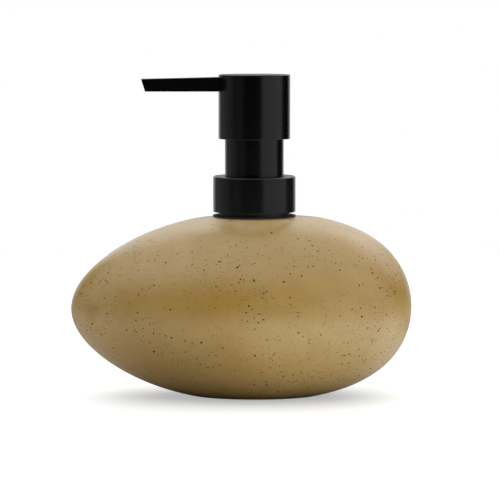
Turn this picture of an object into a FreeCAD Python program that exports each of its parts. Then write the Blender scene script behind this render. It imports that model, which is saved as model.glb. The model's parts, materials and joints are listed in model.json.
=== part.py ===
import FreeCAD, Part

import math
import os

from FreeCAD import Vector

# Soap pump dispenser: an egg-shaped stoneware bottle lying on its side, with a screw-on lotion pump.
# Millimetres, +Z up. The origin is on the resting plane, under the pump's axis; the spout points to -X,
# as does the narrow end of the egg.

# ---- ceramic bottle ----
narrow_tip_x = -75.9        # narrow end of the egg
blunt_tip_x = 65.1          # blunt end of the egg
girth_x = -1.4              # station of the widest section
girth_radius = 39.35
narrow_tip_handle = 0.50    # roundness of the narrow tip, as a share of the girth radius
narrow_girth_handle = 0.50  # fullness towards the narrow tip, as a share of that half's length
blunt_tip_handle = 0.36
blunt_girth_handle = 0.86
egg_tilt = 0.6              # degrees, blunt end up
foot_cut = 2.1              # depth of the flat ground off the egg's underside
landing_cut = 1.72          # depth of the flat ground off its top, on which the pump stands
ceramic_wall = 4.5
landing_margin = 0.35       # landing's rim outside the seal
landing_flare = 2.2         # how much wider the landing's skirt is at its foot
landing_skirt = 3.0         # height of that skirt
neck_wall = 4.0             # ring of thicker clay round the neck hole
neck_depth = 7.0

# ---- collar, threaded cap under it, and neck insert glued into the bottle ----
collar_radius = 17.0
collar_height = 14.64
collar_gap = 1.91           # between the landing and the collar's lower rim
collar_wall = 0.8
rim_chamfer = 0.35          # turned chamfer on the upper rims of collar and head
cap_wall = 2.05
cap_recess = 0.4            # the cap ends this much over the collar's lower rim
deck_thickness = 1.8        # the cap's deck, which holds the pump's flange down
deck_gap = 0.15
thread_depth = 0.95
thread_gap = 0.3            # radial, and how far a ridge's root is sunk into its wall
thread_pitch = 4.23
thread_lead_in = 4.08       # part of the neck's height that the thread leaves free
thread_root_width = 1.7
thread_crest_width = 0.8
cap_thread_shortening = 0.4     # turns
thread_end_margin = 0.1     # turns
insert_shoulder_width = 0.65    # flange outside the thread
insert_flange_thickness = 1.2
insert_seat_width = 1.45    # flange outside the neck hole
insert_glue_gap = 0.2
insert_wall = 1.2
insert_spigot_depth = 8.0
seal_thickness = 0.5
seal_overhang = 2.6         # seal outside the insert's flange, a black ring under the collar
gasket_thickness = 0.8

# ---- pump housing ----
flange_thickness = 1.3
flange_rim_gap = 0.25
barrel_bore_radius = 6.0
barrel_wall = 1.2
barrel_depth = 45.68        # from the flange's top to the spring's floor
chamber_radius = 3.0
chamber_depth = 6.0
inlet_radius = 1.9
inlet_length = 2.0
tube_socket_depth = 11.0
tube_socket_wall = 1.3
tube_radius = 3.2
tube_wall = 0.8
tube_floor_gap = 3.0        # between the tube's end and the bottle's floor
tube_cut_angle = 35.0
ball_radius = 2.5
ball_seat_gap = 0.02
cage_thickness = 2.5
cage_hole_radius = 1.5
cage_port_radius = 0.9
cage_port_count = 6
cage_rim = 0.9              # outside the ports

# ---- stem, piston and spring ----
head_travel = 14.0
stem_radius = 3.5
stem_passage_radius = 1.8
core_rod_radius = 2.5
core_rod_passage_radius = 1.2
core_rod_overlap = 8.0      # length of the lower stem inside the upper one
running_gap = 0.06
piston_length = 7.4
piston_skirt_wall = 0.75
piston_sleeve_wall = 1.0
piston_web = 1.5
piston_seal_gap = 0.03
valve_travel = 1.2          # lost motion that opens the stem's ports
stop_gap = 0.05
foot_gap = 1.2              # between the stem's foot and the barrel
foot_thickness = 2.0
spigot_length = 3.0
port_radius = 0.7
spring_wire_radius = 0.45
spring_turns = 8
spring_side_gap = 0.4       # between coil and spigot, and between coil and the foot's edge
spring_seat_gap = 0.02

# ---- guide bush and sleeve ----
bush_plug_depth = 5.75
bush_flange_thickness = 1.5
bush_neck_wall = 1.7
bush_end_gap = 0.4          # between the bush and the head's socket, head down
sleeve_wall = 0.8
sleeve_lip = 1.2
sleeve_hole_gap = 0.3       # between the sleeve and the holes it passes through
sleeve_end_gap = 0.8        # between the sleeve's top and the head's deck, head down

# ---- head and spout ----
head_step = 2.25            # the head is this much slimmer than the collar
head_height = 26.4
head_rest_gap = 1.41        # between head and collar, head down
head_wall = 1.0
core_recess = 0.6           # the plastic core ends this much over the head's lower rim
core_skirt_wall = 1.25
core_skirt_gap = 0.4        # between the core's skirt and the sleeve
stem_socket_wall = 2.7
stem_socket_roof = 8.0      # from the stem's end up to the deck's underside
stem_grip = 12.0            # length of stem held in the core
spout_reach = 46.4
spout_width = 8.0
spout_drop = 1.13           # from the head's top to the spout's
spout_root_height = 5.85
spout_tip_height = 5.1
spout_undercut = 1.6        # how far the tip's lower edge stands back
spout_root_depth = 7.0      # distance of the spout's inner end from the pump's axis
spout_fit_gap = 0.05
liner_radius = 1.9
liner_wall = 0.45
liner_recess = 1.0

# ---- worked-out radii ----
cap_outer_radius = collar_radius - collar_wall
cap_bore_radius = cap_outer_radius - cap_wall
thread_major_radius = cap_bore_radius - thread_gap
thread_root_radius = thread_major_radius - thread_depth
insert_flange_radius = thread_major_radius + insert_shoulder_width
neck_hole_radius = insert_flange_radius - insert_seat_width
spigot_outer_radius = neck_hole_radius - insert_glue_gap
insert_bore_radius = spigot_outer_radius - insert_wall
seal_radius = insert_flange_radius + seal_overhang
landing_radius = seal_radius + landing_margin
flange_radius = cap_bore_radius - flange_rim_gap
head_radius = collar_radius - head_step
head_inner_radius = head_radius - head_wall
core_bore_radius = head_inner_radius - core_skirt_wall
sleeve_radius = core_bore_radius - core_skirt_gap
sleeve_bore_radius = sleeve_radius - sleeve_wall
sleeve_hole_radius = sleeve_radius + sleeve_hole_gap
stem_socket_radius = stem_radius + stem_socket_wall
barrel_radius = barrel_bore_radius + barrel_wall
cage_port_circle = barrel_bore_radius - cage_rim - cage_port_radius
bush_bore_radius = stem_radius + running_gap
foot_radius = barrel_bore_radius - foot_gap
spring_mean_radius = foot_radius - spring_side_gap - spring_wire_radius
spigot_radius = spring_mean_radius - spring_wire_radius - spring_side_gap

# ---- worked-out heights ----
egg_axis_height = girth_radius - foot_cut
landing_height = egg_axis_height + girth_radius - landing_cut
seal_top = landing_height + seal_thickness
insert_shoulder = seal_top + insert_flange_thickness
collar_bottom = landing_height + collar_gap
collar_top = collar_bottom + collar_height
cap_bottom = collar_bottom + cap_recess
deck_top = collar_top - collar_wall
deck_bottom = deck_top - deck_thickness
flange_top = deck_bottom - deck_gap
gasket_top = flange_top - flange_thickness
insert_top = gasket_top - gasket_thickness
thread_turns = (insert_top - insert_shoulder - thread_lead_in) / thread_pitch
thread_start = insert_top - thread_root_width / 2 - thread_pitch * (thread_turns + thread_end_margin)
barrel_floor = flange_top - barrel_depth
chamber_floor = barrel_floor - chamber_depth
tube_socket_top = chamber_floor - inlet_length
tube_socket_bottom = tube_socket_top - tube_socket_depth
tube_end_height = ceramic_wall + tube_floor_gap
ball_height = chamber_floor + math.sqrt(ball_radius ** 2 - inlet_radius ** 2) + ball_seat_gap
cage_top = barrel_floor + cage_thickness
bush_bottom = flange_top - bush_plug_depth
piston_top = bush_bottom - stop_gap
piston_bottom = piston_top - piston_length
piston_sleeve_top = piston_top - piston_web
foot_top = piston_bottom - stop_gap
foot_bottom = foot_top - foot_thickness
stem_bottom = piston_sleeve_top + valve_travel + stop_gap
lower_stem_top = stem_bottom + core_rod_overlap
head_bottom = collar_top + head_rest_gap + head_travel
head_top = head_bottom + head_height
head_ceiling = head_top - head_wall
spout_bottom = head_top - spout_drop - spout_root_height
spout_axis_height = spout_bottom + spout_tip_height / 2
core_bottom = head_bottom + core_recess
core_ceiling = spout_bottom
stem_top = core_ceiling - stem_socket_roof
stem_socket_floor = stem_top - stem_grip
sleeve_top = core_ceiling - head_travel - sleeve_end_gap
bush_top = stem_socket_floor - head_travel - bush_end_gap

up = Vector(0, 0, 1)


def disc(radius, bottom, top):
    """Solid cylinder on the pump's axis between two heights."""
    return Part.makeCylinder(radius, top - bottom, Vector(0, 0, bottom))


def ring(outer, inner, bottom, top):
    """Hollow cylinder on the pump's axis between two heights."""
    return disc(outer, bottom, top).cut(disc(inner, bottom, top))


def turned(points):
    """Solid turned about the pump's axis from (radius, height) corners."""
    corners = [Vector(radius, 0, height) for radius, height in points]
    return Part.Face(Part.makePolygon(corners + corners[:1])).revolve(Vector(0, 0, 0), up, 360)


def chamfered_disc(radius, bottom, top, edge):
    """Cylinder whose upper rim is bevelled."""
    return turned([(0, bottom), (radius, bottom), (radius, top - edge), (radius - edge, top), (0, top)])


def fused(shapes):
    """One clean solid made of several."""
    return shapes[0].fuse(shapes[1:]).removeSplitter()


def egg(inset):
    """Egg of revolution about its long axis; inset moves the whole surface inwards.

    Each half of the outline is one cubic Bezier curve, upright at the tip and level at the girth.
    The seam of the turned surface lies at the back.
    """
    girth = Vector(girth_x, girth_radius - inset, 0)
    outline = []
    for tip_x, tip_handle, girth_handle in (
        (narrow_tip_x + inset, narrow_tip_handle, narrow_girth_handle),
        (blunt_tip_x - inset, blunt_tip_handle, blunt_girth_handle),
    ):
        curve = Part.BezierCurve()
        curve.setPoles([
            Vector(tip_x, 0, 0),
            Vector(tip_x, tip_handle * girth.y, 0),
            Vector(girth_x + girth_handle * (tip_x - girth_x), girth.y, 0),
            girth,
        ])
        outline.append(curve.toShape())
    closing = Part.makeLine(Vector(narrow_tip_x + inset, 0, 0), Vector(blunt_tip_x - inset, 0, 0))
    face = Part.Face(Part.Wire(Part.__sortEdges__(outline + [closing])))
    solid = face.revolve(Vector(0, 0, 0), Vector(1, 0, 0), 360)
    solid.rotate(Vector(0, 0, 0), Vector(0, 1, 0), -egg_tilt)
    solid.translate(Vector(0, 0, egg_axis_height))
    return solid


def slab(bottom, top):
    """Block wider than the egg between two heights, used to keep or remove a layer."""
    reach = blunt_tip_x - narrow_tip_x
    return Part.makeBox(2 * reach, 2 * reach, top - bottom, Vector(-reach, -reach, bottom))


def thread_ridge(wall_radius, crest_radius, start, turns):
    """One-start right-hand thread ridge with its root sunk into a wall, starting at height start.

    crest_radius is larger than wall_radius for an outer thread and smaller for an inner one.
    """
    outward = 1 if crest_radius > wall_radius else -1
    sunk = wall_radius - outward * thread_gap
    corners = [
        (sunk, -thread_root_width / 2),
        (crest_radius, -thread_crest_width / 2),
        (crest_radius, thread_crest_width / 2),
        (sunk, thread_root_width / 2),
    ]
    profile = Part.makePolygon([Vector(r, 0, z) for r, z in corners + corners[:1]])
    path = Part.makeHelix(thread_pitch, thread_pitch * turns, wall_radius)
    ridge = Part.Wire(path).makePipeShell([profile], True, True)
    ridge.translate(Vector(0, 0, start))
    return ridge


def ceramic_bottle():
    """Glazed stoneware egg with a flat foot, a flat landing and a round neck hole."""
    skirt_foot = landing_height - landing_skirt
    landing = turned([
        (0, skirt_foot), (landing_radius + landing_flare, skirt_foot),
        (landing_radius, landing_height), (0, landing_height),
    ])
    outer = egg(0).common(slab(0, landing_height)).fuse(landing)
    neck_ring = disc(neck_hole_radius + neck_wall, landing_height - neck_depth, landing_height)
    cavity = egg(ceramic_wall).common(slab(ceramic_wall, landing_height)).cut(neck_ring)
    mouth = disc(neck_hole_radius, landing_height - 2 * neck_depth, landing_height)
    return outer.cut(cavity).cut(mouth).removeSplitter()


def neck_insert():
    """Plastic adapter with a spigot, a flange and an outer thread."""
    body = fused([
        disc(spigot_outer_radius, landing_height - insert_spigot_depth, insert_shoulder),
        disc(insert_flange_radius, seal_top, insert_shoulder),
        disc(thread_root_radius, insert_shoulder, insert_top),
    ])
    ridge = thread_ridge(thread_root_radius, thread_major_radius, thread_start, thread_turns)
    bore = disc(insert_bore_radius, landing_height - insert_spigot_depth, insert_top)
    return body.fuse(ridge).cut(bore)


def insert_seal():
    """Flat silicone ring between the landing and the insert's flange, covering the ground glaze."""
    return ring(seal_radius, neck_hole_radius, landing_height, seal_top)


def screw_cap():
    """Inner threaded closure: skirt, deck and inner thread half a pitch from the insert's."""
    shell = ring(cap_outer_radius, cap_bore_radius, cap_bottom, deck_bottom)
    deck = ring(cap_outer_radius, sleeve_hole_radius, deck_bottom, deck_top)
    crest_radius = thread_root_radius + thread_gap
    turns = thread_turns - cap_thread_shortening
    ridge = thread_ridge(cap_bore_radius, crest_radius, thread_start + thread_pitch / 2, turns)
    return fused([shell, deck]).fuse(ridge)


def collar_shell():
    """Black metal cup over the closure, open at the bottom, with a round hole for the sleeve."""
    outside = chamfered_disc(collar_radius, collar_bottom, collar_top, rim_chamfer)
    inside = disc(cap_outer_radius, collar_bottom, deck_top)
    hole = disc(sleeve_hole_radius, deck_top, collar_top)
    return outside.cut(inside).cut(hole)


def neck_gasket():
    """Flat ring that seals the housing flange on the insert's rim."""
    return ring(thread_root_radius, insert_bore_radius, insert_top, gasket_top)


def pump_housing():
    """Barrel with flange, ball chamber, inlet seat and dip tube socket."""
    socket_outer = tube_radius + tube_socket_wall
    body = fused([
        disc(flange_radius, gasket_top, flange_top),
        disc(barrel_radius, chamber_floor - inlet_length, flange_top),
        disc(socket_outer, tube_socket_bottom, tube_socket_top),
    ])
    hollow = fused([
        disc(barrel_bore_radius, barrel_floor, flange_top),
        disc(chamber_radius, chamber_floor, barrel_floor),
        disc(inlet_radius, tube_socket_top, chamber_floor),
        disc(tube_radius, tube_socket_bottom, tube_socket_top),
    ])
    vent_height = piston_bottom - barrel_wall
    vent = Part.makeCylinder(port_radius, 2 * barrel_radius, Vector(0, 0, vent_height), Vector(1, 0, 0))
    return body.cut(hollow).cut(vent)


def dip_tube():
    """Straight tube down to the bottle's floor, cut at a slant so that it can't suck shut."""
    tube = ring(tube_radius, tube_radius - tube_wall, tube_end_height, tube_socket_top)
    slant = Part.makeBox(4 * tube_radius, 4 * tube_radius, 4 * tube_radius,
                         Vector(-tube_radius, -2 * tube_radius, -4 * tube_radius))
    slant.rotate(Vector(-tube_radius, 0, 0), Vector(0, 1, 0), -tube_cut_angle)
    slant.translate(Vector(0, 0, tube_end_height))
    return tube.cut(slant)


def ball_cage():
    """Spring seat that keeps the inlet ball in its chamber, with a centre hole and a ring of ports."""
    seat = ring(barrel_bore_radius, cage_hole_radius, barrel_floor, cage_top)
    for index in range(cage_port_count):
        angle = 2 * math.pi * index / cage_port_count
        centre = Vector(cage_port_circle * math.cos(angle), cage_port_circle * math.sin(angle),
                        barrel_floor)
        seat = seat.cut(Part.makeCylinder(cage_port_radius, cage_thickness, centre))
    return seat


def inlet_ball():
    """Steel check ball, resting just over the rim of the inlet."""
    return Part.makeSphere(ball_radius, Vector(0, 0, ball_height))


def return_spring():
    """Coil spring between the ball cage and the stem's foot."""
    bottom = cage_top + spring_wire_radius + spring_seat_gap
    top = foot_bottom - spring_wire_radius - spring_seat_gap
    path = Part.makeHelix((top - bottom) / spring_turns, top - bottom, spring_mean_radius)
    circle = Part.makeCircle(spring_wire_radius, Vector(spring_mean_radius, 0, 0), Vector(0, 1, 0))
    spring = Part.Wire(path).makePipeShell([Part.Wire(circle)], True, True)
    spring.translate(Vector(0, 0, bottom))
    return spring


def lower_stem():
    """Spool that carries the piston: spigot, foot, core rod and cross ports into its passage."""
    port_height = foot_top + port_radius + stop_gap
    body = fused([
        disc(spigot_radius, foot_bottom - spigot_length, foot_bottom),
        disc(foot_radius, foot_bottom, foot_top),
        disc(core_rod_radius, foot_top, lower_stem_top),
    ])
    passage = disc(core_rod_passage_radius, foot_top, lower_stem_top)
    reach = 2 * core_rod_radius
    ports = Part.makeCylinder(port_radius, 2 * reach, Vector(-reach, 0, port_height), Vector(1, 0, 0))
    return body.cut(passage).cut(ports)


def upper_stem():
    """Tube from the piston, through the guide bush, into the head's socket."""
    tube = ring(stem_radius, stem_passage_radius, stem_bottom, stem_top)
    return tube.cut(disc(core_rod_radius, stem_bottom, lower_stem_top))


def piston():
    """Soft double-skirted seal, free to slide on the stem's core by the valve travel."""
    skirt_radius = barrel_bore_radius - piston_seal_gap
    sleeve_radius_inner = core_rod_radius + running_gap
    middle = (piston_bottom + piston_sleeve_top) / 2
    return fused([
        ring(skirt_radius, skirt_radius - piston_skirt_wall, piston_bottom + piston_web, piston_top),
        ring(skirt_radius, sleeve_radius_inner, middle - piston_web / 2, middle + piston_web / 2),
        ring(sleeve_radius_inner + piston_sleeve_wall, sleeve_radius_inner, piston_bottom, piston_sleeve_top),
    ])


def guide_bush():
    """Bush that closes the barrel, guides the stem and centres the sleeve."""
    body = fused([
        disc(barrel_bore_radius, bush_bottom, flange_top),
        disc(sleeve_bore_radius, flange_top, flange_top + bush_flange_thickness),
        disc(bush_bore_radius + bush_neck_wall, flange_top, bush_top),
    ])
    return body.cut(disc(bush_bore_radius, bush_bottom, bush_top))


def tower_sleeve():
    """Fixed black sleeve between collar and head, with an inward lip at its top."""
    lip_radius = stem_socket_radius + core_skirt_gap
    wall = ring(sleeve_radius, sleeve_bore_radius, flange_top, sleeve_top)
    return fused([wall, ring(sleeve_radius, lip_radius, sleeve_top - sleeve_lip, sleeve_top)])


def spout_bar(gap):
    """Tapering rectangular bar along -X with a slanted, undercut tip, enlarged all round by a gap."""
    root_top = spout_bottom + spout_root_height
    corners = [
        (-spout_reach + spout_undercut, spout_bottom - gap),
        (-spout_root_depth, spout_bottom - gap),
        (-spout_root_depth, root_top + gap),
        (-head_radius, root_top + gap),
        (-spout_reach, spout_bottom + spout_tip_height + gap),
    ]
    half = spout_width / 2 + gap
    face = Part.Face(Part.makePolygon([Vector(x, -half, z) for x, z in corners + corners[:1]]))
    return face.extrude(Vector(0, 2 * half, 0))


def spout():
    """Black metal bar spout, bored along its length for the liner."""
    bar = spout_bar(0)
    bore = Part.makeCylinder(liner_radius, spout_reach, Vector(0, 0, spout_axis_height), Vector(-1, 0, 0))
    return bar.cut(bore)


def spout_liner():
    """Plastic tube that carries the soap through the spout."""
    start = Vector(-spout_root_depth, 0, spout_axis_height)
    length = spout_reach - spout_undercut - spout_root_depth - liner_recess
    outside = Part.makeCylinder(liner_radius, length, start, Vector(-1, 0, 0))
    return outside.cut(Part.makeCylinder(liner_radius - liner_wall, length, start, Vector(-1, 0, 0)))


def head_shell():
    """Black metal cap of the head with a window for the spout."""
    outside = chamfered_disc(head_radius, head_bottom, head_top, rim_chamfer)
    window = spout_bar(spout_fit_gap)
    return outside.cut(disc(head_inner_radius, head_bottom, head_ceiling)).cut(window)


def head_core():
    """Plastic inside of the head: deck, lining skirt and the socket that grips the stem."""
    body = fused([
        disc(head_inner_radius, core_ceiling, head_ceiling),
        ring(head_inner_radius, core_bore_radius, core_bottom, core_ceiling),
        disc(stem_socket_radius, stem_socket_floor, core_ceiling),
    ])
    passage_top = spout_axis_height + liner_radius - liner_wall
    passage = disc(stem_passage_radius, stem_top, passage_top)
    outlet = Part.makeCylinder(liner_radius - liner_wall, spout_root_depth,
                               Vector(0, 0, spout_axis_height), Vector(-1, 0, 0))
    pocket = spout_bar(spout_fit_gap)
    return body.cut(disc(stem_radius, stem_socket_floor, stem_top)).cut(passage).cut(outlet).cut(pocket)


PIECES = [
    ceramic_bottle, neck_insert, insert_seal, screw_cap, collar_shell, neck_gasket, pump_housing,
    dip_tube, ball_cage, inlet_ball, return_spring, lower_stem, upper_stem, piston, guide_bush,
    tower_sleeve, spout, spout_liner, head_shell, head_core,
]

os.makedirs("parts", exist_ok=True)
for make in PIECES:
    shape = make()
    print(make.__name__, shape.ShapeType, len(shape.Solids), shape.isValid(), round(shape.Volume, 1))
    solid = shape.Solids[0] if len(shape.Solids) == 1 else shape
    solid.exportStep(os.path.join("parts", make.__name__ + ".step"))
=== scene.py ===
import json
import logging
import math
from collections.abc import Iterable, Sequence
from dataclasses import dataclass
from enum import Enum
from typing import ClassVar

import bpy
import numpy as np
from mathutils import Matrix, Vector

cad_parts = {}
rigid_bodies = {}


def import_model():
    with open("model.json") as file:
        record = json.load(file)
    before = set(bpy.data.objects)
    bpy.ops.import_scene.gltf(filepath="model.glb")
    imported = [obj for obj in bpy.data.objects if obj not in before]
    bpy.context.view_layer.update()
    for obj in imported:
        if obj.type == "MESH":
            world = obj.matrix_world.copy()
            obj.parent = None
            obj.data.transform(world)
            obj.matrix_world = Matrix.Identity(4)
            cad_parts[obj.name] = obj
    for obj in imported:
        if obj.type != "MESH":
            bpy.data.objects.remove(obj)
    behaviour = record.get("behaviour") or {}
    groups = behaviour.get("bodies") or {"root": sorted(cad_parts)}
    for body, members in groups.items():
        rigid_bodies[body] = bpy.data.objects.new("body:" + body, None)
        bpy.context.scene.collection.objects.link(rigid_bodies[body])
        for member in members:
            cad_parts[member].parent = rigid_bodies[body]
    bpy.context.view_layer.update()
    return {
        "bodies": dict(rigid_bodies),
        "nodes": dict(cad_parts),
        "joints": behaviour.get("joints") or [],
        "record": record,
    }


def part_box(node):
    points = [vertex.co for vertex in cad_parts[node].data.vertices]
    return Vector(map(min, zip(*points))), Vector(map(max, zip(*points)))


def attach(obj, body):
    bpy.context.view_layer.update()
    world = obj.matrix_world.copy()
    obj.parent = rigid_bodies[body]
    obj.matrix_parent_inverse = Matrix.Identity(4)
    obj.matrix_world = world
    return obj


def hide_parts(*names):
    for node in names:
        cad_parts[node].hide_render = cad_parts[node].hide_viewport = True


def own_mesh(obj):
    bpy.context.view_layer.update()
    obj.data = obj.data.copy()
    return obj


MM = 0.001
TURNING_SEGMENTS = 160
POLE_SIZE = 1e-9  # a ring smaller than this, in millimetres, is a pole
TINY = 1e-6  # keeps divisions away from nothing
ARC_POINTS = 5  # points of a rounded corner
LONGEST_ARC = 0.45  # a corner's arc starts at most this share of an edge away
SUPPORT_REACH = 2.0  # support points stand this many arc reaches from the corner
LONGEST_SUPPORT = 0.49  # and at most this share of an edge away
BISECTIONS = 40
Colour = tuple[float, float, float, float]
Light = tuple[float, float, float]
Point = tuple[float, float, float]
log = logging.getLogger("dispenser")


class Slot(Enum):
    """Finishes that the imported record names."""

    STONEWARE = "stoneware"
    COATED_METAL = "black_coated_metal"
    BLACK_PLASTIC = "black_plastic"
    NATURAL_PLASTIC = "natural_plastic"
    PISTON_PLASTIC = "piston_plastic"
    SILICONE = "silicone"
    STEEL = "spring_steel"


class Body(Enum):
    """Rigid bodies that the pieces ride on."""

    BOTTLE = "bottle"
    BARREL = "pump_barrel"
    COLLAR = "collar"
    HEAD = "head"


# ---------------------------------------------------------------- surfaces from arrays


def grid_object(name: str, rows: np.ndarray, loop: bool = False, crease: float = 30.0) -> bpy.types.Object:
    """Mesh object of a surface given as rings of points.

    Every ring is closed round its own points. Ring i and ring i + 1 are joined by quads; a ring whose
    points coincide is a pole and gets triangles. With loop the last ring joins the first.

    Args:
        name: the piece's name.
        rows: points in millimetres, shaped (rings, points round a ring, 3).
        loop: whether the surface closes on itself along the rings.
        crease: degrees between faces from which an edge shades sharp.

    Returns:
        The new object, linked to the scene.
    """
    rings, around = rows.shape[:2]
    pole = np.ptp(rows, axis=1).max(axis=1) < POLE_SIZE
    width = np.where(pole, 1, around)
    start = np.concatenate([[0], np.cumsum(width)[:-1]])
    index = start[:, None] + np.where(pole[:, None], 0, np.arange(around)[None, :])
    keep = np.ones((rings, around), bool)
    keep[pole, 1:] = False
    points = rows[keep] * MM
    following = np.roll(index, -1, axis=0) if loop else index[1:]
    here = index if loop else index[:-1]
    here_pole = pole if loop else pole[:-1]
    next_pole = np.roll(pole, -1) if loop else pole[1:]
    corners = np.stack([here, np.roll(here, -1, axis=1), np.roll(following, -1, axis=1), following], axis=-1)
    quads = corners[~here_pole & ~next_pole].reshape(-1, 4)
    opening = corners[here_pole & ~next_pole][..., [0, 2, 3]].reshape(-1, 3)
    closing = corners[~here_pole & next_pole][..., [0, 1, 2]].reshape(-1, 3)
    triangles = np.concatenate([opening, closing])
    loops = np.concatenate([quads.ravel(), triangles.ravel()]).astype(np.int32)
    totals = np.concatenate([np.full(len(quads), 4), np.full(len(triangles), 3)]).astype(np.int32)
    starts = np.concatenate([[0], np.cumsum(totals)[:-1]]).astype(np.int32)
    mesh = bpy.data.meshes.new(name)
    mesh.vertices.add(len(points))
    mesh.vertices.foreach_set("co", points.astype(np.float32).ravel())
    mesh.loops.add(len(loops))
    mesh.loops.foreach_set("vertex_index", loops)
    mesh.polygons.add(len(totals))
    mesh.polygons.foreach_set("loop_start", starts)
    mesh.polygons.foreach_set("loop_total", totals)
    mesh.update(calc_edges=True)
    mesh.validate()
    mesh.shade_smooth()
    mesh.set_sharp_from_angle(angle=math.radians(crease))
    piece = bpy.data.objects.new(name, mesh)
    bpy.context.scene.collection.objects.link(piece)
    return piece


def rounded_profile(corners: Sequence[tuple[float, float, float]], closed: bool) -> np.ndarray:
    """Outline through (radius, height) corners, each rounded by its own arc.

    Each corner is replaced by points of a quadratic curve between two points set back along its
    edges, and every edge gets a support point close to each end, so that shading stays flat between.

    Args:
        corners: (radius, height, rounding) triples in millimetres, in order.
        closed: whether the last corner joins the first.

    Returns:
        Points shaped (n, 2).
    """
    count = len(corners)
    spots = np.array([corner[:2] for corner in corners], float)
    share = np.linspace(0.0, 1.0, ARC_POINTS)[:, None]
    points: list[np.ndarray] = []
    for number, (here, (_, _, rounding)) in enumerate(zip(spots, corners)):
        if not closed and number in (0, count - 1):
            points.append(here[None])
            continue
        before, after = spots[number - 1] - here, spots[(number + 1) % count] - here
        shorter = min(np.linalg.norm(before), np.linalg.norm(after))
        reach = min(rounding, LONGEST_ARC * shorter)
        support = min(SUPPORT_REACH * reach, LONGEST_SUPPORT * shorter)
        into, out = before / np.linalg.norm(before), after / np.linalg.norm(after)
        arc = here + into * reach * (1 - share) ** 2 + out * reach * share ** 2
        points.append(np.concatenate([[here + into * support], arc, [here + out * support]]))
    return np.concatenate(points)


def turned(name: str, corners: Sequence[tuple[float, float, float]],
           closed: bool = True) -> bpy.types.Object:
    """Surface of revolution about the pump's axis: (r cos a, r sin a, z) over the outline and the angle a.

    Args:
        name: the piece's name.
        corners: (radius, height, rounding) triples, counter-clockwise with the axis on the left.
        closed: whether the outline is a loop; an open one starts and ends on the axis.

    Returns:
        The new object.
    """
    outline = rounded_profile(corners, closed)
    angle = np.linspace(0.0, 2 * math.pi, TURNING_SEGMENTS, endpoint=False)
    radius, height = outline[:, :1], outline[:, 1:]
    rows = np.stack([radius * np.cos(angle), radius * np.sin(angle), height + 0 * angle], axis=-1)
    return grid_object(name, rows, loop=closed)


def smooth_least(first: np.ndarray, second: np.ndarray, blend: float) -> np.ndarray:
    """Smaller of two arrays, rounded by a parabola where they lie within blend of each other."""
    near = np.clip(1 - np.abs(first - second) / blend, 0.0, 1.0)
    return np.minimum(first, second) - blend * near ** 2 / 4


def smooth_most(first: np.ndarray, second: np.ndarray, blend: float) -> np.ndarray:
    """Larger of two arrays, rounded by a parabola where they lie within blend of each other."""
    return -smooth_least(-first, -second, blend)


# ---------------------------------------------------------------- shader tools


@dataclass(frozen=True)
class Mottle:
    """Noise pushed apart: bottom where it is under low, top where it is over high, smooth between.

    Scale is in waves per metre; detail, roughness and distortion are settings of the noise.
    """

    scale: float
    detail: float
    roughness: float
    low: float
    high: float
    bottom: float = 0.0
    top: float = 1.0
    distortion: float = 0.0


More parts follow.
